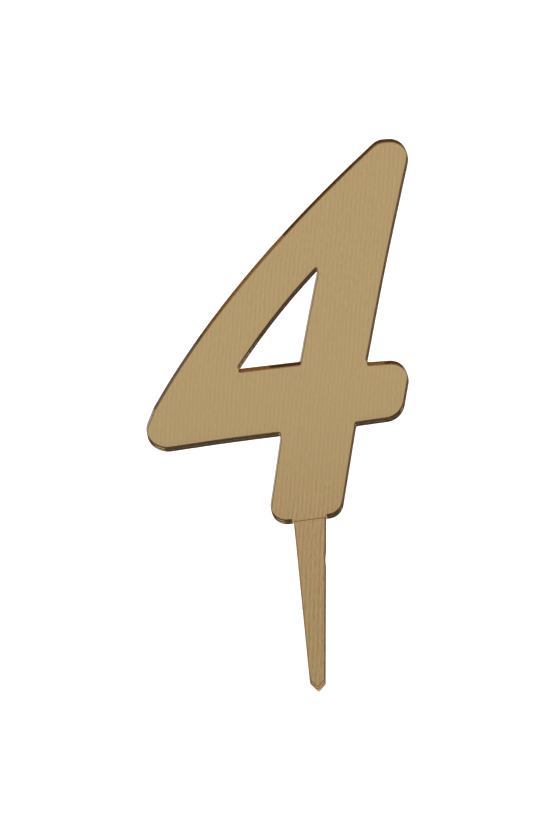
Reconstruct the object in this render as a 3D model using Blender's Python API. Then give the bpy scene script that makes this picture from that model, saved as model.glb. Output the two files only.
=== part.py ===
"""Number cake topper: a flat "4" standing on a tapered spike, laser-cut from gold mirror acrylic.

Mirror acrylic is a clear, tinted sheet with a metal film on its back and a paint coat over the film.
The digit and the spike are cut from one sheet and butt-joined, edge to edge, with solvent cement, so
each of them is three layers: acrylic in front, mirror film behind it, back coat behind the film.

Frame: +Z up along the spike, +X to the reader's right, and the mirror face looks along -Y.
Origin: on the spike's centre line, on the back face of the sheet, at the level of the digit's foot,
which is where the icing comes to when the spike is pushed fully in.
All design values are in millimetres.
"""

import math
from collections import namedtuple

import bmesh
import bpy
from mathutils import Matrix, Vector
from mathutils.geometry import interpolate_bezier

MM = 0.001

# The sheet, from its back face (y = 0) to its front.
SHEET = 3.0
BACK_COAT = 0.12
MIRROR_FILM = 0.06
LAYER_GAP = 0.02

# The spike: straight tapered sides, a pointed end, and a shallow nick where the laser started its cut.
SPIKE_TOP_WIDTH = 5.8
SPIKE_TIP_WIDTH = 2.8
SPIKE_SHOULDER = -29.85
SPIKE_SHOULDER_RIGHT = -30.05
SPIKE_POINT = -31.4
SPIKE_POINT_OFFSET = 0.1
SPIKE_POINT_ROUND = 0.15
SPIKE_SHOULDER_ROUND = 0.25
SPIKE_TOP_ROUND = 0.05
NICK_TOP = -5.2
NICK_DEEPEST = -7.0
NICK_BOTTOM = -8.6
NICK_DEPTH = 0.14
NICK_ROUND = 1.5

# The cement line between the foot and the spike.
SEAM = 0.22
SEAM_GAP = 0.02
SEAM_SIDE_INSET = 0.05

# How finely round stretches are cut into straight ones.
ROUND_STEP = math.radians(6.0)
BOW_STEP = math.radians(1.5)

# A corner is where two edges would meet if it were sharp, and the radius that rounds it. The edge that
# follows bows by "leave" degrees from its chord at its start and by "arrive" degrees at its end.
Corner = namedtuple("Corner", "x z round leave arrive", defaults=(0.0, 0.0))

# The digit's outline, clockwise from the top as seen from the front.
DIGIT_OUTLINE = [
    Corner(15.3, 68.9, 3.1),  # top of the diagonal
    Corner(21.7, 69.1, 3.3, -1.2, 1.2),  # top of the stem, whose right edge bows a little
    Corner(11.5, 28.3, 0.4),  # notch above the stub
    Corner(19.7, 28.4, 3.2),  # stub, upper end
    Corner(17.4, 17.9, 3.7),  # stub, lower end
    Corner(9.1, 17.2, 0.4),  # notch below the stub
    Corner(5.7, 0.7, 2.9),  # foot, right
    Corner(-7.6, -0.4, 2.9),  # foot, left
    Corner(-4.4, 16.2, 0.4, -1.0, 1.0),  # notch below the crossbar
    Corner(-25.8, 14.4, 4.1),  # crossbar, lower left
    Corner(-29.4, 17.0, 3.4),  # crossbar, left end
    Corner(-27.1, 22.1, 7.0, 10.0, -7.4),  # start of the bowed diagonal
]
FOOT_RIGHT = DIGIT_OUTLINE[6]
FOOT_LEFT = DIGIT_OUTLINE[7]

# The triangular opening, clockwise from its lower left.
DIGIT_OPENING = [
    Corner(-11.7, 28.4, 0.2, 5.0, -5.0),  # its long side bows as the outer diagonal does
    Corner(3.7, 46.4, 0.2, -0.9, 0.9),  # apex
    Corner(-0.4, 29.1, 0.4),  # lower right
]


def clear_scene():
    for obj in list(bpy.data.objects):
        bpy.data.objects.remove(obj)


def material(name, color, roughness, metallic=0.0, transmission=0.0):
    made = bpy.data.materials.new(name)
    made.use_nodes = True
    shader = made.node_tree.nodes["Principled BSDF"]
    shader.inputs["Base Color"].default_value = (*color, 1.0)
    shader.inputs["Roughness"].default_value = roughness
    shader.inputs["Metallic"].default_value = metallic
    shader.inputs["Transmission Weight"].default_value = transmission
    made.diffuse_color = (*color, 1.0)
    return made


def turned(direction, degrees):
    """The direction turned towards the reader's left by an angle, as seen from the front."""
    return Matrix.Rotation(math.radians(-degrees), 3, "Y") @ direction


def corner_directions(corners):
    """For each corner, the direction in which the outline arrives there and in which it leaves."""
    leaving, arriving = [], []
    for corner, after in zip(corners, corners[1:] + corners[:1]):
        chord = Vector((after.x - corner.x, 0.0, after.z - corner.z)).normalized()
        leaving.append(turned(chord, corner.leave))
        arriving.append(turned(chord, corner.arrive))
    return list(zip(arriving[-1:] + arriving[:-1], leaving))


def rounded_corner(corner, arriving, leaving):
    """Points on the arc that rounds a corner, from one tangent point to the other."""
    turn = arriving.angle(leaving)
    setback = corner.round * math.tan(turn / 2)
    start = Vector((corner.x, 0.0, corner.z)) - arriving * setback
    inward = (leaving - arriving * arriving.dot(leaving)).normalized()
    centre = start + inward * corner.round
    steps = max(2, math.ceil(turn / ROUND_STEP))
    angles = [turn * step / steps for step in range(steps + 1)]
    return [
        centre + corner.round * (arriving * math.sin(angle) - inward * math.cos(angle)) for angle in angles
    ]


def bowed_edge(start, leaving, end, arriving):
    """Points between two corners on the edge that joins them, without its ends."""
    turn = leaving.angle(arriving)
    reach = (end - start).length / 3
    steps = max(1, math.ceil(turn / BOW_STEP))
    points = interpolate_bezier(start, start + leaving * reach, end - arriving * reach, end, steps + 1)
    return points[1:-1]


def outline_points(corners):
    """The closed outline that a list of corners describes."""
    directions = corner_directions(corners)
    rounds = [rounded_corner(corner, *pair) for corner, pair in zip(corners, directions)]
    points = []
    for index, arc in enumerate(rounds):
        after = (index + 1) % len(corners)
        points += arc
        points += bowed_edge(arc[-1], directions[index][1], rounds[after][0], directions[after][0])
    return points


def plate(name, outlines, back, thickness, finish):
    """A flat plate with the given outlines, the first its edge and the others its openings."""
    body = bmesh.new()
    edges = []
    for outline in outlines:
        verts = [body.verts.new(point * MM) for point in outline]
        edges += [body.edges.new(pair) for pair in zip(verts, verts[1:] + verts[:1])]
    bmesh.ops.triangle_fill(body, use_beauty=True, edges=edges)
    front = bmesh.ops.extrude_face_region(body, geom=body.faces[:])["geom"]
    front_verts = [element for element in front if isinstance(element, bmesh.types.BMVert)]
    bmesh.ops.translate(body, verts=front_verts, vec=(0.0, -thickness * MM, 0.0))
    bmesh.ops.recalc_face_normals(body, faces=body.faces[:])
    mesh = bpy.data.meshes.new(name)
    body.to_mesh(mesh)
    body.free()
    mesh.shade_smooth()
    mesh.set_sharp_from_angle(angle=math.radians(30.0))
    mesh.materials.append(finish)
    plate_object = bpy.data.objects.new(name, mesh)
    plate_object.location.y = -back * MM
    bpy.context.scene.collection.objects.link(plate_object)
    return plate_object


def mirror_sheet(name, outlines, finishes):
    """One piece cut from mirror acrylic: back coat, film and acrylic, back to front."""
    film_back = BACK_COAT + LAYER_GAP
    acrylic_back = film_back + MIRROR_FILM + LAYER_GAP
    plate(name + "_back_coat", outlines, 0.0, BACK_COAT, finishes["back_coat"])
    plate(name + "_mirror_film", outlines, film_back, MIRROR_FILM, finishes["mirror_film"])
    plate(name + "_acrylic", outlines, acrylic_back, SHEET - acrylic_back, finishes["acrylic"])


def foot_level(x):
    """Height of the digit's foot, a straight line between its two lower corners."""
    share = (x - FOOT_LEFT.x) / (FOOT_RIGHT.x - FOOT_LEFT.x)
    return FOOT_LEFT.z + share * (FOOT_RIGHT.z - FOOT_LEFT.z)


def spike_half_width(z):
    """Half the spike's width at a height, between its top and its shoulders."""
    taper = (SPIKE_TOP_WIDTH - SPIKE_TIP_WIDTH) / SPIKE_SHOULDER
    return (SPIKE_TOP_WIDTH - taper * z) / 2


def spike_corners():
    """The spike's outline, clockwise from its upper left. Its top runs along the foot, below the seam."""
    top_left = -spike_half_width(0.0)
    top_right = spike_half_width(0.0)
    return [
        Corner(top_left, foot_level(top_left) - SEAM, SPIKE_TOP_ROUND),
        Corner(top_right, foot_level(top_right) - SEAM, SPIKE_TOP_ROUND),
        Corner(spike_half_width(NICK_TOP), NICK_TOP, NICK_ROUND),
        Corner(spike_half_width(NICK_DEEPEST) - NICK_DEPTH, NICK_DEEPEST, NICK_ROUND),
        Corner(spike_half_width(NICK_BOTTOM), NICK_BOTTOM, NICK_ROUND),
        Corner(spike_half_width(SPIKE_SHOULDER_RIGHT), SPIKE_SHOULDER_RIGHT, SPIKE_SHOULDER_ROUND),
        Corner(SPIKE_POINT_OFFSET, SPIKE_POINT, SPIKE_POINT_ROUND),
        Corner(-SPIKE_TIP_WIDTH / 2, SPIKE_SHOULDER, SPIKE_SHOULDER_ROUND),
    ]


def seam_outline():
    """The cement line: a sliver that fills the butt joint and stops just short of its ends."""
    half = spike_half_width(0.0) - SEAM_SIDE_INSET
    top = [Vector((x, 0.0, foot_level(x) - SEAM_GAP)) for x in (-half, half)]
    bottom = [Vector((x, 0.0, foot_level(x) - SEAM + SEAM_GAP)) for x in (half, -half)]
    return top + bottom


clear_scene()
FINISHES = {
    "acrylic": material("tinted_acrylic", (0.62, 0.43, 0.20), 0.03, transmission=0.9),
    "mirror_film": material("gold_mirror_film", (0.78, 0.60, 0.33), 0.12, metallic=1.0),
    "back_coat": material("grey_back_coat", (0.30, 0.29, 0.27), 0.55),
    "cement": material("clear_cement", (0.55, 0.40, 0.22), 0.15, transmission=0.6),
}
mirror_sheet("number", [outline_points(DIGIT_OUTLINE), outline_points(DIGIT_OPENING)], FINISHES)
mirror_sheet("spike", [outline_points(spike_corners())], FINISHES)
plate("cement_seam", [seam_outline()], BACK_COAT, SHEET - BACK_COAT - SEAM_GAP, FINISHES["cement"])
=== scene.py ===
"""Looks of the number cake topper in gold mirror acrylic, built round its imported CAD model.

Each CAD node gets one finer piece that follows the node's own outline. The acrylic has polished rims and
cut walls with the laser's fine ridges. The mirror film stops just short of the cut, where the heat took it
off. The back coat ends in a small lip, and the cement line has a fillet at each end.

Frame: the CAD's own, in metres: +Z up along the spike, +X to the reader's right, the face looks along -Y.
Design values are in millimetres, and MM turns them into metres. The camera and the stage are in metres.
"""

import math
from collections import namedtuple

import bmesh
import bpy
import numpy
from mathutils import Matrix, Vector, noise
from mathutils.geometry import delaunay_2d_cdt, interpolate_bezier
from mathutils.kdtree import KDTree


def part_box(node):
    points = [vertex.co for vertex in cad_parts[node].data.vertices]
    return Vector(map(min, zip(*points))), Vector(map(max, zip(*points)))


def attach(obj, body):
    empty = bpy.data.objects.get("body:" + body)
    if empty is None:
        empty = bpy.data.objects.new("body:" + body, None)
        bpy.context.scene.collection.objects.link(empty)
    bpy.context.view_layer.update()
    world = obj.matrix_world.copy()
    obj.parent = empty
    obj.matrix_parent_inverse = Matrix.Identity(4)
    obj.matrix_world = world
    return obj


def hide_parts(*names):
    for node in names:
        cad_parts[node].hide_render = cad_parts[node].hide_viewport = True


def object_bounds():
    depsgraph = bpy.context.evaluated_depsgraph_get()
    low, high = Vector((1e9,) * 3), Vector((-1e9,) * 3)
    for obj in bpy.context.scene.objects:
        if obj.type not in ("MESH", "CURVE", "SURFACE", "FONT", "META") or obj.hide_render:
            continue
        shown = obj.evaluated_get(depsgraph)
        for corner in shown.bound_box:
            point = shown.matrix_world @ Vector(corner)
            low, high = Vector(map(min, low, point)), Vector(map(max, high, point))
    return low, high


MM = 0.001
BODY = "root"
FRONT = Vector((0.0, -1.0, 0.0))
WHITE = (1.0, 1.0, 1.0, 1.0)

# How straight a face has to look along an axis to count as flat, and how close points are that coincide.
FLAT_ENOUGH = 0.9
SAME_PLACE = 0.0001

# How the outlines are drawn: most and least spacing of their points, and the laser's slow waver.
OUTLINE_STEP = 0.22
LEAST_STEP = 0.012
WAVER = 0.012
WAVER_LENGTH = 1.7

# No rim reaches further into a sharp round than this share of the round's radius.
ROOM_SHARE = 0.8

# Rims of the acrylic: polished round in front, crisp behind.
FRONT_RIM = 0.15
BACK_RIM = 0.02
RIM_STEPS = 4

# The film stops this far from the cut, a little unevenly.
FILM_RIM = 0.012
FILM_SETBACK = 0.075
FILM_RAGGED = 0.04
FILM_RAG_LENGTH = 0.45

# The back coat: a lip of melted paint along the cut, and a field that lies a little lower.
COAT_FRONT_RIM = 0.012
COAT_RIM = 0.05
COAT_LIP_END = 0.18
COAT_SINK = 0.016

# Points inside the flat faces: rows at these distances from the cut, and a loose grid further in.
FACE_ROWS = (0.35, 0.9)
FACE_ROW_STEP = 0.7
FACE_ROW_CLEAR = 0.97
FACE_GRID = 2.6
FACE_GRID_CLEAR = 1.6
FACE_GRID_LOOSENESS = 0.25

# The butt joint: a thin line of cement with a fillet in the corner at each end.
JOINT_LINE = 0.09
COAT_GAP = 0.03
JOINT_GAP = 0.005
JOINT_FILLET = 0.13
JOINT_FADE = 0.45
JOINT_RIM_SHARE = 0.06
FILLET_TURNS = range(80, 0, -10)

# The plastics: their refractive index, and what their dyes take out of each colour per millimetre.
PLASTIC_INDEX = 1.49
ACRYLIC_DYE = (0.022, 0.086, 0.190)
CEMENT_DYE = (0.03, 0.10, 0.22)
CEMENT_CLEAR = (0.95, 0.90, 0.82, 1.0)
CEMENT_BROWN = (0.80, 0.70, 0.58, 1.0)

# Where most of a cloud's values lie.
CLOUD_RANGE = (0.3, 0.7)

# Where cut walls turn into rims and rims into flat faces, as the depthwise part of their normals.
WALL_TURN = (0.3, 0.6)
FACE_TURN = (0.985, 0.998)

# The acrylic's cut walls: fine ridges, and a haze that is stronger on the spike, and most of all at its
# tip. The rims take a large share of a dark lobe, which is painted shade along the cut. The fades are the
# heights between which one look passes into the next.
SPIKE_FADE = (-0.9, -0.4)
TIP_FADE = (-29.9, -29.2)
WALL_HAZE = (0.04, 0.08)
SPIKE_HAZE = 0.5
TIP_HAZE = 0.76
# The rims' share here and their colour below are painted shade: a dark lobe over the polished rims.
RIM_SHADE_SHARE = 0.64
WALL_COLOUR = (0.46, 0.17, 0.03, 1.0)
SPIKE_COLOUR = (0.80, 0.62, 0.38, 1.0)
TIP_COLOUR = (0.90, 0.82, 0.68, 1.0)
# Painted shade: the rims' dark colour.
RIM_SHADE_COLOUR = (0.10, 0.056, 0.025, 1.0)
RIDGE_TINT = (0.97, 0.93, 0.86, 1.0)
RIDGE_HEIGHT = 0.0012
RIDGE_ROUGHNESS = 0.05
SPIKE_ROUGHNESS = 0.30

# Scuffs on the acrylic's polished faces.
SCUFF_ROUGHNESS = 0.05

# The film's fine slanted lines of lighter and darker colour: their pitch, their slopes against the upright
# on digit and spike, how far they sway sideways, how strong they are on each, and how much stronger they
# get towards the digit's top. The strengths are for lines and the grain between them, in these shares.
LINE_PITCH = 0.78
DIGIT_LINE_SLOPE = 0.125
SPIKE_LINE_SLOPE = 0.085
SLOPE_FADE = (-1.0, 1.0)
LINE_SWAY = 1.5
SPIKE_LINES = 0.145
DIGIT_LINES = 0.042
TOP_LINES = 0.018
LINES_FADE = (-5.0, 13.0)
TOP_LINES_FADE = (22.0, 45.0)
LINE_SHARE = 0.75
GRAIN_SHARE = 3.0

# The film's metal: its colours, the spike's one darker and warmer as painted shade, how they drift in
# patches, and the height of its ripples.
METAL_FADE = (-6.0, 18.0)
DIGIT_METAL = (0.880, 0.930, 0.926, 1.0)
SPIKE_METAL_SHADED = (0.880, 0.892, 0.861, 1.0)
METAL_DRIFT = (0.045, -0.035, -0.020)
DIGIT_DRIFT = 0.05
SPIKE_DRIFT = 0.65
FILM_RIPPLE = 0.004

# The back coat's paint, its marks, and the film laid bare where it has chipped. Scratches run in a few
# directions, each an angle in degrees and a scale along it: the smaller the scale, the longer they are.
PAINT_DARK = (0.150, 0.152, 0.156, 1.0)
PAINT_LIGHT = (0.275, 0.270, 0.258, 1.0)
STREAK_SHARE = 0.22
SPECK = (0.36, 0.35, 0.33, 1.0)
SPECK_SHARE = 0.6
SCRATCH = (0.50, 0.50, 0.48, 1.0)
SCRATCH_SHARE = 0.8
SCORCH = (0.085, 0.062, 0.042, 1.0)
SCORCH_SHARE = 0.75
SCORCH_REACH = (0.25, 0.62)
SCORCH_RAGGED = 0.35
BARE_FILM = (0.75, 0.68, 0.52, 1.0)
SCRATCHES = ((18.0, 0.10), (-52.0, 0.07), (74.0, 0.12))
SCRATCH_SCALE = 4.0
SCRATCH_WIDTH = 0.012
COAT_RELIEF = 0.02

# The room that the mirror shows. The ceiling's light comes up between two elevations in degrees. The
# screen's edges, all of them soft, are parts of a direction of length 1, and its top has a step in it.
WALL_LIGHT = 0.035
CEILING_LIGHT = 0.9
CEILING_RISES = (24.0, 50.0)
SCREEN_LIGHT = 0.56
SCREEN_LEFT = (-0.15, -0.10)
SCREEN_RIGHT = (0.30, 0.36)
SCREEN_FRONT = (-0.6, -0.4)
SCREEN_TOP = (-0.02, 0.02)
SCREEN_STEP = (0.06, 0.12)
SCREEN_LOW_TOP = 0.085
SCREEN_HIGH_TOP = 0.20
DIM_TONE = (1.0, 0.72, 0.42, 1.0)
BRIGHT_TONE = (1.0, 0.94, 0.84, 1.0)
BRIGHT_FROM = 0.3

# The table: half its width, its paper as the camera sees it, and its glow in reflections. Ahead of the
# object and behind it, the glow passes from its first strength to its second over a stretch of the table.
FLOOR_REACH = 3.0
PAPER = (0.3, 0.3, 0.3, 1.0)
PAPER_GLOW = 0.85
GLOW_COLOUR = (1.0, 0.95, 0.8, 1.0)
AHEAD = (0.0, 0.3)
GLOW_AHEAD = (0.478, 0.574)
BEHIND = (-0.8, -0.35)
GLOW_BEHIND = (0.17, 0.6)
BEHIND_TO_AHEAD = (-0.03, 0.0)

# Camera: where it stands as seen from the object, how far it is rolled, and how much its picture shows.
CAMERA_AZIMUTH = -2.4
CAMERA_ELEVATION = 12.6
CAMERA_ROLL = 2.77
CAMERA_DISTANCE = 2.481
CAMERA_AIM = Vector((-0.00476, 0.00236, 0.01880))
PICTURE_HEIGHT = 0.1497
SENSOR = 36.0

# How often light may bounce: enough for a ray that runs the length of the sheet inside it.
BOUNCES = 40

Rim = namedtuple("Rim", "place outward joint room")
Ring = namedtuple("Ring", "inset depth tilt")


# Outlines


def looks_forward(face):
    return face.normal.dot(FRONT) >= FLAT_ENOUGH


def cad_outlines(node):
    """The outlines of a CAD plate's front face in millimetres, longest first, material on their left."""
    body = bmesh.new()
    body.from_mesh(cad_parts[node].data)
    bmesh.ops.remove_doubles(body, verts=body.verts[:], dist=SAME_PLACE * MM)
    body.normal_update()
    follows = {}
    for face in filter(looks_forward, body.faces):
        for corner in face.loops:
            if not looks_forward(corner.link_loop_radial_next.face):
                follows[corner.vert] = corner.link_loop_next.vert
    outlines = []
    while follows:
        vert = next(iter(follows))
        outline = []
        while vert in follows:
            outline.append(Vector((vert.co.x, 0.0, vert.co.z)) / MM)
            vert = follows.pop(vert)
        outlines.append(thinned(outline))
    body.free()
    return sorted(outlines, key=len, reverse=True)


def thinned(points):
    """The points without those that lie almost on the one before."""
    kept = points[:1]
    for point in points[1:]:
        if (point - kept[-1]).length > LEAST_STEP:
            kept.append(point)
    return kept


def sampled(corners):
    """Closely spaced points along a closed outline, with its round stretches made truly round."""
    sides = [after - corner for corner, after in zip(corners, corners[1:] + corners[:1])]
    headings = []
    for before, after in zip(sides[-1:] + sides[:-1], sides):
        headings.append((before * before.length + after * after.length).normalized())
    points = []
    for index, side in enumerate(sides):
        after = (index + 1) % len(corners)
        reach = side.length / 3
        pieces = max(1, math.ceil(side.length / OUTLINE_STEP))
        handles = corners[index] + headings[index] * reach, corners[after] - headings[after] * reach
        points += interpolate_bezier(corners[index], *handles, corners[after], pieces + 1)[:-1]
    return points


def outward_at(points):
    """The direction out of the material at each point of an outline."""
    directions = []
    for before, after in zip(points[-1:] + points[:-1], points[1:] + points[:1]):
        along = (after - before).normalized()
        directions.append(Vector((along.z, 0.0, -along.x)))
    return directions


class Joint:
    """Where the foot and the spike meet, read from the CAD nodes."""

    def __init__(self):
        cement = cad_outlines("cement_seam")[0]
        spike = cad_outlines("spike_acrylic")[0]
        left = [corner for corner in cement if corner.x < 0]
        right = [corner for corner in cement if corner.x > 0]
        self.left = max(left, key=lambda corner: corner.z)
        self.right = max(right, key=lambda corner: corner.z)
        thickness = self.left.z - min(corner.z for corner in left)
        self.half_width = max(point.x for point in spike)
        self.gap = 0.0
        # The cement lies as far below the foot as it lies above the spike.
        self.gap = min(self.below(point) for point in spike) - thickness
        self.spike_drop = min(self.below(point) for point in spike)

    def foot(self, x):
        """Height of the foot's underside."""
        share = (x - self.left.x) / (self.right.x - self.left.x)
        return self.left.z + share * (self.right.z - self.left.z) + self.gap

    def below(self, point):
        return self.foot(point.x) - point.z

    def nearness(self, point):
        """1 in the joint, 0 away from it, and smoothly between them beside it."""
        beside = max(0.0, abs(point.x) - self.half_width)
        off = max(beside, abs(self.below(point)) - 2 * JOINT_LINE)
        share = min(1.0, max(0.0, 1.0 - off / JOINT_FADE))
        return share * share * (3.0 - 2.0 * share)

    def holds(self, point):
        """True where a cut wall is wetted by the cement."""
        reach = JOINT_LINE + JOINT_FILLET
        return abs(point.x) < self.half_width + reach and abs(self.below(point)) < reach

    def reached(self, points, gap):
        """The spike's outline with its top end pushed up to a gap below the foot."""
        lift = Vector((0.0, 0.0, self.spike_drop - gap))
        return [point + lift if self.below(point) < 2 * self.spike_drop else point for point in points]


def room_at(points, directions):
    """How far each point could move inwards before the round it lies on closes up."""
    rooms = []
    for index in range(len(points)):
        after = (index + 1) % len(points)
        step = points[after] - points[index - 1]
        bend = (directions[after] - directions[index - 1]).dot(step)
        rooms.append(step.length_squared / bend if bend > 0 else math.inf)
    return [min(three) for three in zip(rooms[-1:] + rooms[:-1], rooms, rooms[1:] + rooms[:1])]


def rims(corners):
    """The finished outline: each point's place, outward direction, nearness to the joint, and room."""
    points = sampled(corners)
    shifts = [WAVER * noise.noise(point / WAVER_LENGTH) for point in points]
    points = [point + out * shift for point, out, shift in zip(points, outward_at(points), shifts)]
    directions = outward_at(points)
    nearness = [joint.nearness(point) for point in points]
    return [Rim(*values) for values in zip(points, directions, nearness, room_at(points, directions))]


# Plates


def flat(point):
    return point.x, point.z


def inside(points, outline):
    """For each (x, z) row of points, whether it lies inside an outline."""
    start = numpy.array(outline)
    end = numpy.roll(start, -1, axis=0)
    x, z = points[:, 0, None], points[:, 1, None]
    crosses = (start[:, 1] > z) != (end[:, 1] > z)
    rise = numpy.where(end[:, 1] == start[:, 1], 1.0, end[:, 1] - start[:, 1])
    at = start[:, 0] + (z - start[:, 1]) * (end[:, 0] - start[:, 0]) / rise
    return (crosses & (x < at)).sum(axis=1) % 2 == 1


def in_material(points, loops):
    """For each (x, z) row of points, whether it lies in the first loop and in none of the others."""
    outlines = [[flat(point) for point in loop] for loop in loops]
    result = inside(points, outlines[0])
    for opening in outlines[1:]:
        result &= ~inside(points, opening)
    return result


def cut_distance(outlines):
    """A function that gives a point's distance from the nearest cut."""
    places = [rim.place for outline in outlines for rim in outline]
    tree = KDTree(len(places))
    for index, place in enumerate(places):
        tree.insert(place, index)
    tree.balance()
    return lambda point: tree.find(point)[2]


def row_points(outlines, distance):
    """Points in rows along the cut, without those that come closer to another stretch of it."""
    stride = round(FACE_ROW_STEP / OUTLINE_STEP)
    found = []
    for row in FACE_ROWS:
        for outline in outlines:
            for rim in outline[::stride]:
                point = rim.place - rim.outward * row
                if distance(point) > FACE_ROW_CLEAR * row:
                    found.append(point)
    return found


def grid_points(outline, distance):
    """Points of a loose, staggered grid over an outline's extent, where they are well away from the cut."""
    places = [rim.place for rim in outline]
    low = Vector([min(place[axis] for place in places) for axis in range(3)])
    high = Vector([max(place[axis] for place in places) for axis in range(3)])
    found = []
    for column in range(math.ceil((high.x - low.x) / FACE_GRID) + 1):
        for level in range(math.ceil((high.z - low.z) / FACE_GRID) + 1):
            stagger = (level % 2) / 2
            point = low + Vector((column + stagger, 0.0, level)) * FACE_GRID
            shift = noise.noise_vector(point) * FACE_GRID_LOOSENESS * FACE_GRID
            point += Vector((shift.x, 0.0, shift.z))
            if distance(point) > FACE_GRID_CLEAR:
                found.append(point)
    return found


def face_points(outlines):
    """Points inside a plate's face, in rows and in a grid, with their distances from the cut."""
    distance = cut_distance(outlines)
    found = row_points(outlines, distance) + grid_points(outlines[0], distance)
    table = numpy.array([flat(point) for point in found])
    kept = in_material(table, [[rim.place for rim in outline] for outline in outlines])
    return [(point, distance(point)) for point, keep in zip(found, kept) if keep]


def face_triangles(loops, inner):
    """Triangles, as point numbers, that fill a face between closed loops and through inner points."""
    points = [point for loop in loops for point in loop] + inner
    edges = []
    first = 0
    for loop in loops:
        edges += [(first + index, first + (index + 1) % len(loop)) for index in range(len(loop))]
        first += len(loop)
    flat_points = [Vector(flat(point)) for point in points]
    _, _, faces, sources, _, _ = delaunay_2d_cdt(flat_points, edges, [], 1, 1e-6)
    triangles = [[sources[corner][0] for corner in face] for face in faces]
    table = numpy.array([tuple(point) for point in flat_points])
    centres = table[numpy.array(triangles)].mean(axis=1)
    keep = in_material(centres, loops)
    return [triangle for triangle, kept in zip(triangles, keep) if kept]


class PlateMesh:
    """A plate's mesh in the making, with the normals of its points and their distances from the cut."""

    def __init__(self):
        self.body = bmesh.new()
        self.distance = self.body.verts.layers.float.new("cut_distance")
        self.bonded = self.body.faces.layers.float.new("bonded")
        self.normals = []

    def vert(self, point, depth, normal, from_cut):
        made = self.body.verts.new(Vector((point.x, depth, point.z)) * MM)
        made[self.distance] = from_cut
        self.normals.append(normal)
        return made

    def row(self, outlines, ring, setback):
        """The outlines' points at a ring's depth, moved in from the cut: less so in the joint."""
        tilt = math.radians(ring.tilt)
        row = []
        for outline in outlines:
            loop = []
            for rim in outline:
                inset = min(ring.inset + setback(rim), ROOM_SHARE * rim.room)
                inset *= 1.0 - rim.joint * (1.0 - JOINT_RIM_SHARE)
                normal = rim.outward * math.cos(tilt) + FRONT * math.sin(tilt)
                loop.append(self.vert(rim.place - rim.outward * inset, ring.depth, normal, inset))
            row.append(loop)
        return row

    def wall(self, outlines, front, back):
        """The faces between two rows, bonded where the cement wets them."""
        for outline, near, far in zip(outlines, front, back):
            for index, rim in enumerate(outline):
                after = (index + 1) % len(outline)
                face = self.body.faces.new((near[index], far[index], far[after], near[after]))
                face[self.bonded] = float(joint.holds((rim.place + outline[after].place) / 2))

    def flat_face(self, row, depth, facing, inner):
        """The flat face that fills a row: the one behind is bonded to the next layer."""
        loops = [[made.co / MM for made in loop] for loop in row]
        verts = [made for loop in row for made in loop]
        verts += [self.vert(point, depth, facing, from_cut) for point, from_cut in inner]
        for triangle in face_triangles(loops, [point for point, _ in inner]):
            face = self.body.faces.new([verts[corner] for corner in triangle])
            face[self.bonded] = float(facing.y > 0)

    def finished(self, name):
        bmesh.ops.recalc_face_normals(self.body, faces=self.body.faces[:])
        mesh = bpy.data.meshes.new(name)
        self.body.to_mesh(mesh)
        self.body.free()
        mesh.shade_smooth()
        mesh.normals_split_custom_set_from_vertices(self.normals)
        return mesh


def no_setback(_rim):
    return 0.0


def plate_piece(name, outlines, inner, rings, finish, setback=no_setback):
    """A closed plate from rings of points, front to back, with both its flat faces filled."""
    plate = PlateMesh()
    rows = [plate.row(outlines, ring, setback) for ring in rings]
    for front, back in zip(rows, rows[1:]):
        plate.wall(outlines, front, back)
    plate.flat_face(rows[0], rings[0].depth, FRONT, inner)
    plate.flat_face(rows[-1], rings[-1].depth, -FRONT, inner)
    placed(name, plate.finished(name), finish)


def placed(name, mesh, finish):
    """An object of the model: rides on the body, and takes its finish by name from the finishes made here.
    """
    mesh.materials.append(FINISHES[finish])
    made = bpy.data.objects.new("v_" + name, mesh)
    bpy.context.scene.collection.objects.link(made)
    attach(made, BODY)
    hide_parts(name)


def depths(node):
    """Where a CAD plate's front and back faces lie, in millimetres."""
    low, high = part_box(node)
    return low[1] / MM, high[1] / MM


def round_rings(front, back, front_radius, back_radius, steps):
    """Rings of a plate with rounded rims, front to back."""
    turns = [90.0 * step / steps for step in range(steps, -1, -1)]
    rings = []
    for turn in turns:
        inset = front_radius * (1.0 - math.cos(math.radians(turn)))
        rings.append(Ring(inset, front + front_radius * (1.0 - math.sin(math.radians(turn))), turn))
    for turn in reversed(turns):
        inset = back_radius * (1.0 - math.cos(math.radians(turn)))
        rings.append(Ring(inset, back - back_radius * (1.0 - math.sin(math.radians(turn))), -turn))
    return rings


def acrylic_rings(node):
    return round_rings(*depths(node), FRONT_RIM, BACK_RIM, RIM_STEPS)


def film_rings(node):
    return round_rings(*depths(node), FILM_RIM, FILM_RIM, 1)


def film_setback(rim):
    return FILM_SETBACK + FILM_RAGGED * noise.noise(rim.place / FILM_RAG_LENGTH)


def coat_rings(node):
    """The coat's rounded rim, then its lip's slope down to the lower field."""
    front, back = depths(node)
    rings = round_rings(front, back, COAT_FRONT_RIM, COAT_RIM, 2)
    slope = math.degrees(math.atan2(COAT_SINK, COAT_LIP_END - COAT_RIM))
    rings.append(Ring((COAT_RIM + COAT_LIP_END) / 2, back - COAT_SINK / 2, -90.0 - slope))
    rings.append(Ring(COAT_LIP_END, back - COAT_SINK, -90.0))
    return rings


def part_outlines(part, gap):
    """The finished outlines of the digit or of the spike, whose top ends at a gap below the foot."""
    drawn = cad_outlines(part + "_acrylic")
    if part == "spike":
        drawn = [joint.reached(corners, gap) for corners in drawn]
    return [rims(corners) for corners in drawn]


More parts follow.
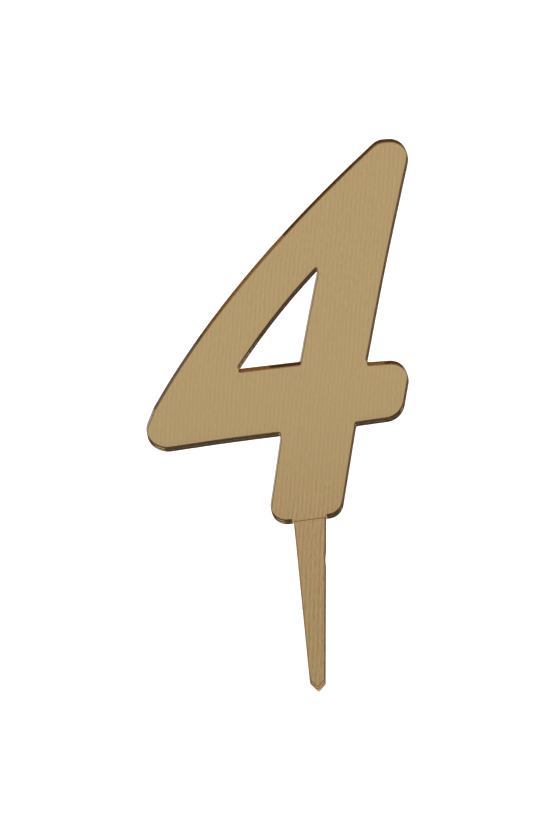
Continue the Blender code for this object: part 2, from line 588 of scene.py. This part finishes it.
def sheet_part(part):
    """A part cut from the sheet: its acrylic, its film, and its coat, which nearly closes the joint."""
    outlines = part_outlines(part, JOINT_LINE)
    inner = face_points(outlines)
    node = part + "_acrylic"
    plate_piece(node, outlines, inner, acrylic_rings(node), "tinted_acrylic")
    node = part + "_mirror_film"
    plate_piece(node, outlines, inner, film_rings(node), "mirror_film", film_setback)
    outlines = part_outlines(part, COAT_GAP)
    node = part + "_back_coat"
    plate_piece(node, outlines, face_points(outlines), coat_rings(node), "back_coat")


def fillet(side):
    """Points of the cement's hollow fillet beside the spike, from the foot down to the spike's side."""
    edge = joint.half_width + JOINT_GAP
    points = []
    for turn in FILLET_TURNS:
        across = edge + JOINT_FILLET * (1.0 - math.cos(math.radians(turn)))
        drop = JOINT_GAP + JOINT_FILLET * (1.0 - math.sin(math.radians(turn)))
        points.append(Vector((side * across, 0.0, joint.foot(side * across) - drop)))
    return points


def cement_outline():
    """The cement's outline: two fillets, and the line between them along the spike's top."""
    edge = joint.half_width + JOINT_GAP
    drop = JOINT_LINE - JOINT_GAP
    shoulders = [Vector((side * edge, 0.0, joint.foot(side * edge) - drop)) for side in (1, -1)]
    return fillet(1) + shoulders + fillet(-1)[::-1]


def cement_piece():
    """The cement: a thin line between foot and spike, and its two fillets."""
    front, back = depths("cement_seam")
    body = bmesh.new()
    verts = [body.verts.new(Vector((point.x, back, point.z)) * MM) for point in cement_outline()]
    edges = [body.edges.new(pair) for pair in zip(verts, verts[1:] + verts[:1])]
    bmesh.ops.triangle_fill(body, edges=edges)
    sheet = bmesh.ops.extrude_face_region(body, geom=body.faces[:])["geom"]
    moved = [element for element in sheet if isinstance(element, bmesh.types.BMVert)]
    bmesh.ops.translate(body, verts=moved, vec=(0.0, (front - back) * MM, 0.0))
    bmesh.ops.recalc_face_normals(body, faces=body.faces[:])
    bonded = body.faces.layers.float.new("bonded")
    for face in body.faces:
        middle = face.calc_center_median() / MM
        beside_spike = abs(middle.x) < joint.half_width + 2 * JOINT_GAP
        touches = beside_spike or joint.below(middle) < 2 * JOINT_GAP
        face[bonded] = float(abs(face.normal.y) < 0.5 and touches)
    mesh = bpy.data.meshes.new("cement_seam")
    body.to_mesh(mesh)
    body.free()
    placed("cement_seam", mesh, "cement")


# Materials


def add(tree, kind, sockets=None, **settings):
    """A new node. A socket takes a value or another node's output."""
    node = tree.nodes.new("ShaderNode" + kind)
    for name, value in settings.items():
        setattr(node, name, value)
    for name, value in (sockets or {}).items():
        if isinstance(value, bpy.types.NodeSocket):
            tree.links.new(value, node.inputs[name])
        else:
            node.inputs[name].default_value = value
    return node


def math_node(tree, operation, *values):
    return add(tree, "Math", dict(enumerate(values)), operation=operation).outputs[0]


def times(tree, first, second):
    return math_node(tree, "MULTIPLY", first, second)


def scaled(tree, value, factor, offset):
    """A value times a factor, plus an offset."""
    return math_node(tree, "MULTIPLY_ADD", value, factor, offset)


def rest_of(tree, share):
    """What a share leaves of 1."""
    return math_node(tree, "SUBTRACT", 1.0, share)


def ramp(tree, value, low, high, start=0.0, end=1.0):
    """A value moved from the range low-high to the range start-end, smoothly and clamped."""
    sockets = {"Value": value, "From Min": low, "From Max": high, "To Min": start, "To Max": end}
    return add(tree, "MapRange", sockets, interpolation_type="SMOOTHSTEP").outputs["Result"]


def blend(tree, share, first, second):
    """Two colours mixed by a share."""
    return add(tree, "Mix", {0: share, 6: first, 7: second}, data_type="RGBA").outputs[2]


def along_axes(tree, vector):
    """A vector's X, Y and Z, by name."""
    return add(tree, "SeparateXYZ", {0: vector}).outputs


def in_plane(tree, x, z):
    return add(tree, "CombineXYZ", {0: x, 2: z}).outputs[0]


def enlarged(tree, vector, factor):
    return add(tree, "VectorMath", {0: vector, "Scale": factor}, operation="SCALE").outputs[0]


def stretched(tree, place, scale):
    return add(tree, "VectorMath", {0: place, 1: scale}, operation="MULTIPLY").outputs[0]


def object_place(tree):
    return add(tree, "TexCoord").outputs["Object"]


def millimetres(tree):
    """The place on the object, in millimetres."""
    return enlarged(tree, object_place(tree), 1.0 / MM)


def cloud(tree, place, scale, detail=2.0, roughness=0.5):
    """Noise round 0.5 on a place."""
    sockets = {"Vector": place, "Scale": scale, "Detail": detail, "Roughness": roughness}
    return add(tree, "TexNoise", sockets).outputs["Fac"]


def relief(tree, height, full_height, strength=1.0):
    """A normal that follows a height, whose full height is in millimetres."""
    sockets = {"Height": height, "Strength": strength, "Distance": full_height * MM}
    return add(tree, "Bump", sockets).outputs["Normal"]


def attribute(tree, name):
    return add(tree, "Attribute", attribute_name=name).outputs["Fac"]


def mixed(tree, share, first, second):
    """Two surfaces mixed by a share."""
    return add(tree, "MixShader", {0: share, 1: first, 2: second}).outputs[0]


def together(tree, first, second):
    """Two surfaces added up."""
    return add(tree, "AddShader", {0: first, 1: second}).outputs[0]


def new_material(name):
    made = bpy.data.materials.new(name)
    made.use_nodes = True
    made.node_tree.nodes.clear()
    return made, made.node_tree


def finish_surface(tree, sockets, volume=None, haze=None):
    """The material's output: a principled surface, with a hazy one mixed in and a volume if given. On the
    acrylic's rims the mixed-in surface is dark painted shade.
    """
    out = add(tree, "OutputMaterial")
    surface = add(tree, "BsdfPrincipled", sockets).outputs["BSDF"]
    if haze:
        share, colour = haze
        thrown_back = add(tree, "BsdfDiffuse", {"Color": colour}).outputs[0]
        let_in = add(tree, "BsdfTranslucent", {"Color": colour}).outputs[0]
        surface = mixed(tree, share, surface, together(tree, thrown_back, let_in))
    tree.links.new(surface, out.inputs["Surface"])
    if volume:
        tree.links.new(volume, out.inputs["Volume"])


def wall_and_rim(tree):
    """Two shares: 1 on the cut walls, and 1 on the rims between them and the flat faces."""
    normal = add(tree, "NewGeometry").outputs["True Normal"]
    depthwise = math_node(tree, "ABSOLUTE", along_axes(tree, normal)["Y"])
    wall = ramp(tree, depthwise, *WALL_TURN, 1.0, 0.0)
    wall_or_rim = ramp(tree, depthwise, *FACE_TURN, 1.0, 0.0)
    return wall, math_node(tree, "SUBTRACT", wall_or_rim, wall)


def dye(tree, per_mm):
    """Light taken out on its way through the plastic, in each colour and per millimetre."""
    sockets = {"Color": (*[1.0 - loss for loss in per_mm], 1.0), "Density": 1.0 / MM}
    return add(tree, "VolumeAbsorption", sockets).outputs["Volume"]


def index_of_refraction(tree):
    """The plastic's index, but 1 on bonded faces, so that light passes them straight."""
    return scaled(tree, attribute(tree, "bonded"), 1.0 - PLASTIC_INDEX, PLASTIC_INDEX)


def cut_haze_and_rim_shade(tree, height, spike, ridges):
    """How hazy the acrylic's walls are, how much painted shade darkens its rims, and in what colour. Bonded
    faces have neither.
    """
    wall, rim = wall_and_rim(tree)
    frost = ramp(tree, height, *TIP_FADE, TIP_HAZE, SPIKE_HAZE)
    haze_and_shade_share = scaled(tree, spike, frost, ramp(tree, ridges, *CLOUD_RANGE, *WALL_HAZE))
    # The rims take a large share of a dark lobe: painted shade along the cut.
    haze_and_shade_share = math_node(tree, "ADD", times(tree, wall, haze_and_shade_share), times(tree, rim, RIM_SHADE_SHARE))
    open_face = rest_of(tree, attribute(tree, "bonded"))
    frosted = blend(tree, ramp(tree, frost, SPIKE_HAZE, TIP_HAZE), SPIKE_COLOUR, TIP_COLOUR)
    colour = blend(tree, rim, blend(tree, spike, WALL_COLOUR, frosted), RIM_SHADE_COLOUR)
    return times(tree, haze_and_shade_share, open_face), colour


def acrylic_material():
    """Amber acrylic: polished faces, and cut walls with the laser's fine ridges across the sheet."""
    made, tree = new_material("tinted_acrylic")
    place = millimetres(tree)
    height = along_axes(tree, place)["Z"]
    wall, _ = wall_and_rim(tree)
    spike = ramp(tree, height, *SPIKE_FADE, 1.0, 0.0)
    ridges = cloud(tree, stretched(tree, place, (1.0, 0.04, 1.0)), 7.0, detail=3.0, roughness=0.6)
    smear = cloud(tree, place, 0.35, detail=3.0)
    upright = stretched(tree, place, (1.0, 1.0, 0.12))
    scuffs = ramp(tree, cloud(tree, upright, 3.2, detail=4.0, roughness=0.7), 0.60, 0.78)
    wall_roughness = scaled(tree, ridges, RIDGE_ROUGHNESS, times(tree, spike, SPIKE_ROUGHNESS))
    face_roughness = times(tree, scuffs, times(tree, smear, SCUFF_ROUGHNESS))
    face_roughness = times(tree, rest_of(tree, wall), face_roughness)
    surface = {
        "Base Color": blend(tree, times(tree, wall, ridges), WHITE, RIDGE_TINT),
        "Roughness": scaled(tree, wall, wall_roughness, face_roughness),
        "IOR": index_of_refraction(tree),
        "Transmission Weight": 1.0,
        "Normal": relief(tree, ridges, RIDGE_HEIGHT, wall),
    }
    finish_surface(tree, surface, dye(tree, ACRYLIC_DYE), cut_haze_and_rim_shade(tree, height, spike, ridges))
    return made


def across_the_lines(tree, parts):
    """How far to the right of one of the film's slanted, swaying lines a place lies."""
    slope = ramp(tree, parts["Z"], *SLOPE_FADE, -SPIKE_LINE_SLOPE, -DIGIT_LINE_SLOPE)
    across = scaled(tree, parts["Z"], slope, parts["X"])
    sway = cloud(tree, in_plane(tree, across, parts["Z"]), 0.05, detail=1.0)
    return scaled(tree, sway, LINE_SWAY, across)


def slanted_line_pattern(tree, across, lined, spike, grain):
    """Light and dark round 0: broken lines, in longer pieces on the spike, with a grain between them."""
    wave = math_node(tree, "SINE", times(tree, across, 2 * math.pi / LINE_PITCH))
    long_pieces = cloud(tree, stretched(tree, lined, (1.1, 1.0, 0.45)), 1.0, detail=1.0)
    short_pieces = cloud(tree, stretched(tree, lined, (1.3, 1.0, 0.9)), 1.0, detail=1.0)
    pieces = scaled(tree, math_node(tree, "SUBTRACT", long_pieces, short_pieces), spike, short_pieces)
    pieces = ramp(tree, pieces, 0.35, 0.65, 0.1, 1.3)
    lines = times(tree, times(tree, wave, pieces), LINE_SHARE)
    return math_node(tree, "ADD", lines, scaled(tree, grain, GRAIN_SHARE, -GRAIN_SHARE / 2))


def film_material():
    """The mirror film: bright metal with fine upright lines of lighter and darker colour, stronger towards
    the spike, where painted shade also darkens the metal.
    """
    made, tree = new_material("mirror_film")
    place = millimetres(tree)
    parts = along_axes(tree, place)
    height = parts["Z"]
    across = across_the_lines(tree, parts)
    lined = in_plane(tree, across, height)
    spike = ramp(tree, height, *METAL_FADE, 1.0, 0.0)
    grain = cloud(tree, stretched(tree, lined, (2.6, 1.0, 0.8)), 1.0, roughness=0.6)
    strength = ramp(tree, height, *LINES_FADE, SPIKE_LINES, DIGIT_LINES)
    strength = math_node(tree, "ADD", strength, ramp(tree, height, *TOP_LINES_FADE, 0.0, TOP_LINES))
    shade = scaled(tree, slanted_line_pattern(tree, across, lined, spike, grain), strength, 1.0)
    patches = cloud(tree, stretched(tree, lined, (0.55, 1.0, 0.16)), 1.0)
    drift = scaled(tree, spike, SPIKE_DRIFT - DIGIT_DRIFT, DIGIT_DRIFT)
    drift = times(tree, ramp(tree, patches, *CLOUD_RANGE, -1.0, 1.0), drift)
    # Towards the spike the metal is darker and warmer: painted shade.
    tone = blend(tree, spike, DIGIT_METAL, SPIKE_METAL_SHADED)
    drifted = {0: tone, 1: enlarged(tree, METAL_DRIFT, drift)}
    tone = add(tree, "VectorMath", drifted, operation="ADD").outputs[0]
    surface = {
        "Base Color": enlarged(tree, tone, shade),
        "Metallic": 1.0,
        "Roughness": scaled(tree, grain, 0.05, 0.01),
        "Normal": relief(tree, cloud(tree, place, 0.3, detail=1.0), FILM_RIPPLE),
    }
    finish_surface(tree, surface)
    return made


def scratches(tree, place):
    """1 on fine scratches in a few directions, each with patches of its own."""
    found = None
    for angle, scale_along in SCRATCHES:
        sockets = {"Vector": place, "Axis": (0.0, 1.0, 0.0), "Angle": math.radians(angle)}
        turned = add(tree, "VectorRotate", sockets).outputs[0]
        contours = cloud(tree, stretched(tree, turned, (SCRATCH_SCALE, 1.0, scale_along)), 1.0)
        off_line = math_node(tree, "ABSOLUTE", math_node(tree, "SUBTRACT", contours, 0.5))
        where = ramp(tree, cloud(tree, place, 0.17 + scale_along, detail=1.0), 0.52, 0.66)
        lines = times(tree, ramp(tree, off_line, 0.0, SCRATCH_WIDTH, 1.0, 0.0), where)
        found = lines if found is None else math_node(tree, "MAXIMUM", found, lines)
    return found


def coat_material():
    """Grey protective paint: orange peel, specks, fine scratches, and a scorched, chipped edge."""
    made, tree = new_material("back_coat")
    place = millimetres(tree)
    edge = attribute(tree, "cut_distance")
    peel = cloud(tree, place, 1.4)
    specks = ramp(tree, cloud(tree, place, 5.5, detail=1.0), 0.68, 0.74)
    scratched = scratches(tree, place)
    streaky = cloud(tree, stretched(tree, place, (0.9, 1.0, 0.10)), 1.0, detail=3.0)
    mottle = scaled(tree, streaky, STREAK_SHARE, cloud(tree, place, 0.12, detail=4.0))
    mottle = ramp(tree, mottle, 0.44, 0.80)
    ragged_edge = scaled(tree, cloud(tree, place, 2.4, detail=3.0), SCORCH_RAGGED, edge)
    scorched = ramp(tree, ragged_edge, *SCORCH_REACH, 1.0, 0.0)
    chips = ramp(tree, scaled(tree, cloud(tree, place, 3.4), -1.0, edge), -0.62, -0.68)
    paint = blend(tree, mottle, PAINT_DARK, PAINT_LIGHT)
    paint = blend(tree, times(tree, specks, SPECK_SHARE), paint, SPECK)
    paint = blend(tree, times(tree, scratched, SCRATCH_SHARE), paint, SCRATCH)
    paint = blend(tree, times(tree, scorched, SCORCH_SHARE), paint, SCORCH)
    height = scaled(tree, specks, 0.4, scaled(tree, scratched, -0.5, peel))
    surface = {
        "Base Color": blend(tree, chips, paint, BARE_FILM),
        "Metallic": chips,
        "Roughness": scaled(tree, mottle, 0.18, 0.36),
        "Normal": relief(tree, height, COAT_RELIEF),
    }
    finish_surface(tree, surface)
    return made


def cement_material():
    """Set solvent cement: browner than the acrylic, and slightly hazy where it is open to the air."""
    made, tree = new_material("cement")
    patches = cloud(tree, millimetres(tree), 6.0, detail=3.0)
    bonded = attribute(tree, "bonded")
    open_tint = blend(tree, patches, CEMENT_CLEAR, CEMENT_BROWN)
    surface = {
        "Base Color": blend(tree, bonded, open_tint, WHITE),
        "Roughness": times(tree, rest_of(tree, bonded), times(tree, patches, 0.3)),
        "IOR": index_of_refraction(tree),
        "Transmission Weight": 1.0,
    }
    finish_surface(tree, surface, dye(tree, CEMENT_DYE))
    return made


# Stage


def away(azimuth, elevation):
    """The direction from the object to something seen at an azimuth and an elevation, in degrees."""
    turn, rise = math.radians(azimuth), math.radians(elevation)
    return Vector((math.sin(turn) * math.cos(rise), -math.cos(turn) * math.cos(rise), math.sin(rise)))


def two_looks(tree, output, in_reflections, to_camera):
    """Ends a node tree in one look for the camera and another for everything else."""
    seen = add(tree, "LightPath").outputs["Is Camera Ray"]
    look = mixed(tree, seen, in_reflections, to_camera)
    tree.links.new(look, add(tree, output).inputs["Surface"])


def screen_light(tree, direction):
    """The pale screen in front of the object: low at the left, and higher from a step in its top on."""
    left = ramp(tree, direction["X"], *SCREEN_LEFT, 0.0, SCREEN_LIGHT)
    right = ramp(tree, direction["X"], *SCREEN_RIGHT, 1.0, 0.0)
    top = ramp(tree, direction["X"], *SCREEN_STEP, SCREEN_LOW_TOP, SCREEN_HIGH_TOP)
    above = math_node(tree, "SUBTRACT", direction["Z"], top)
    below_top = ramp(tree, above, *SCREEN_TOP, 1.0, 0.0)
    in_front = ramp(tree, direction["Y"], *SCREEN_FRONT, 1.0, 0.0)
    return times(tree, times(tree, times(tree, left, right), below_top), in_front)


def studio():
    """The room: white to the camera, and else dark walls, a bright ceiling and a pale screen in front."""
    world = bpy.data.worlds.new("studio")
    bpy.context.scene.world = world
    world.use_nodes = True
    tree = world.node_tree
    tree.nodes.clear()
    direction = along_axes(tree, add(tree, "TexCoord").outputs["Generated"])
    rises = [math.sin(math.radians(rise)) for rise in CEILING_RISES]
    light = ramp(tree, direction["Z"], *rises, WALL_LIGHT, CEILING_LIGHT)
    light = math_node(tree, "MAXIMUM", light, screen_light(tree, direction))
    tone = blend(tree, ramp(tree, light, WALL_LIGHT, BRIGHT_FROM), DIM_TONE, BRIGHT_TONE)
    room = add(tree, "Background", {"Color": tone, "Strength": light}).outputs[0]
    white = add(tree, "Background", {"Color": WHITE}).outputs[0]
    two_looks(tree, "OutputWorld", room, white)


def softbox(name, azimuth, elevation, distance, size, power):
    """A square light that shines at the origin and isn't itself seen in the mirror or the acrylic."""
    data = bpy.data.lights.new(name, "AREA")
    data.size = size
    data.energy = power
    made = bpy.data.objects.new(name, data)
    bpy.context.scene.collection.objects.link(made)
    made.visible_glossy = False
    made.visible_transmission = False
    direction = away(azimuth, elevation)
    turn = direction.to_track_quat("Z", "Y").to_matrix().to_4x4()
    made.matrix_world = Matrix.Translation(direction * distance) @ turn


def floor_material():
    """Nearly white to the camera with a faint shadow, and a pale glow in reflections, dim far behind."""
    made, tree = new_material("floor")
    forward = times(tree, along_axes(tree, object_place(tree))["Y"], -1.0)
    ahead = ramp(tree, forward, *AHEAD, *GLOW_AHEAD)
    behind = ramp(tree, forward, *BEHIND, *GLOW_BEHIND)
    share = ramp(tree, forward, *BEHIND_TO_AHEAD)
    glow = scaled(tree, share, math_node(tree, "SUBTRACT", ahead, behind), behind)
    mirrored = add(tree, "Emission", {"Color": GLOW_COLOUR, "Strength": glow}).outputs[0]
    lit = add(tree, "BsdfDiffuse", {"Color": PAPER}).outputs[0]
    paper = add(tree, "Emission", {"Color": WHITE, "Strength": PAPER_GLOW}).outputs[0]
    two_looks(tree, "OutputMaterial", mirrored, together(tree, lit, paper))
    return made


def floor(level):
    """A pale table under the spike's point."""
    body = bmesh.new()
    bmesh.ops.create_grid(body, x_segments=1, y_segments=1, size=FLOOR_REACH)
    mesh = bpy.data.meshes.new("floor")
    body.to_mesh(mesh)
    body.free()
    mesh.materials.append(floor_material())
    made = bpy.data.objects.new("floor", mesh)
    made.location.z = level
    bpy.context.scene.collection.objects.link(made)


def camera():
    """A long lens that looks at the aim, rolled so that the object leans a little in the picture."""
    back = away(CAMERA_AZIMUTH, CAMERA_ELEVATION)
    data = bpy.data.cameras.new("camera")
    data.sensor_width = SENSOR
    data.lens = SENSOR * CAMERA_DISTANCE / PICTURE_HEIGHT
    made = bpy.data.objects.new("camera", data)
    bpy.context.scene.collection.objects.link(made)
    turn = (-back).to_track_quat("-Z", "Y").to_matrix()
    roll = Matrix.Rotation(math.radians(-CAMERA_ROLL), 3, "Z")
    made.matrix_world = Matrix.Translation(CAMERA_AIM + back * CAMERA_DISTANCE) @ (turn @ roll).to_4x4()
    bpy.context.scene.camera = made


def light_paths():
    """Many bounces, no caustics, and colours shown as they are."""
    cycles = bpy.context.scene.cycles
    cycles.max_bounces = BOUNCES
    cycles.transmission_bounces = BOUNCES
    cycles.glossy_bounces = BOUNCES
    cycles.caustics_reflective = False
    cycles.caustics_refractive = False
    bpy.context.scene.view_settings.view_transform = "Standard"


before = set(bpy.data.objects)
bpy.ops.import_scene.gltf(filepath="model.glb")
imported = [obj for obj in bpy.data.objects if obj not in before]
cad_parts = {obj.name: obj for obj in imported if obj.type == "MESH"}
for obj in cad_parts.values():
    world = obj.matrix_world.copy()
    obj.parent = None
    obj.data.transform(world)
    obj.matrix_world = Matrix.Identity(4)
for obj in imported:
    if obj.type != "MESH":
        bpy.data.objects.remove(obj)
cad_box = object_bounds()
FINISHES = {
    "tinted_acrylic": acrylic_material(),
    "mirror_film": film_material(),
    "back_coat": coat_material(),
    "cement": cement_material(),
}
joint = Joint()
sheet_part("number")
sheet_part("spike")
cement_piece()
studio()
softbox("overhead", azimuth=0.0, elevation=80.0, distance=0.9, size=0.7, power=9.0)
softbox("left_key", azimuth=-50.0, elevation=42.0, distance=0.8, size=0.4, power=3.0)
softbox("back_fill", azimuth=150.0, elevation=35.0, distance=0.9, size=0.5, power=4.0)
floor(cad_box[0].z)
camera()
light_paths()
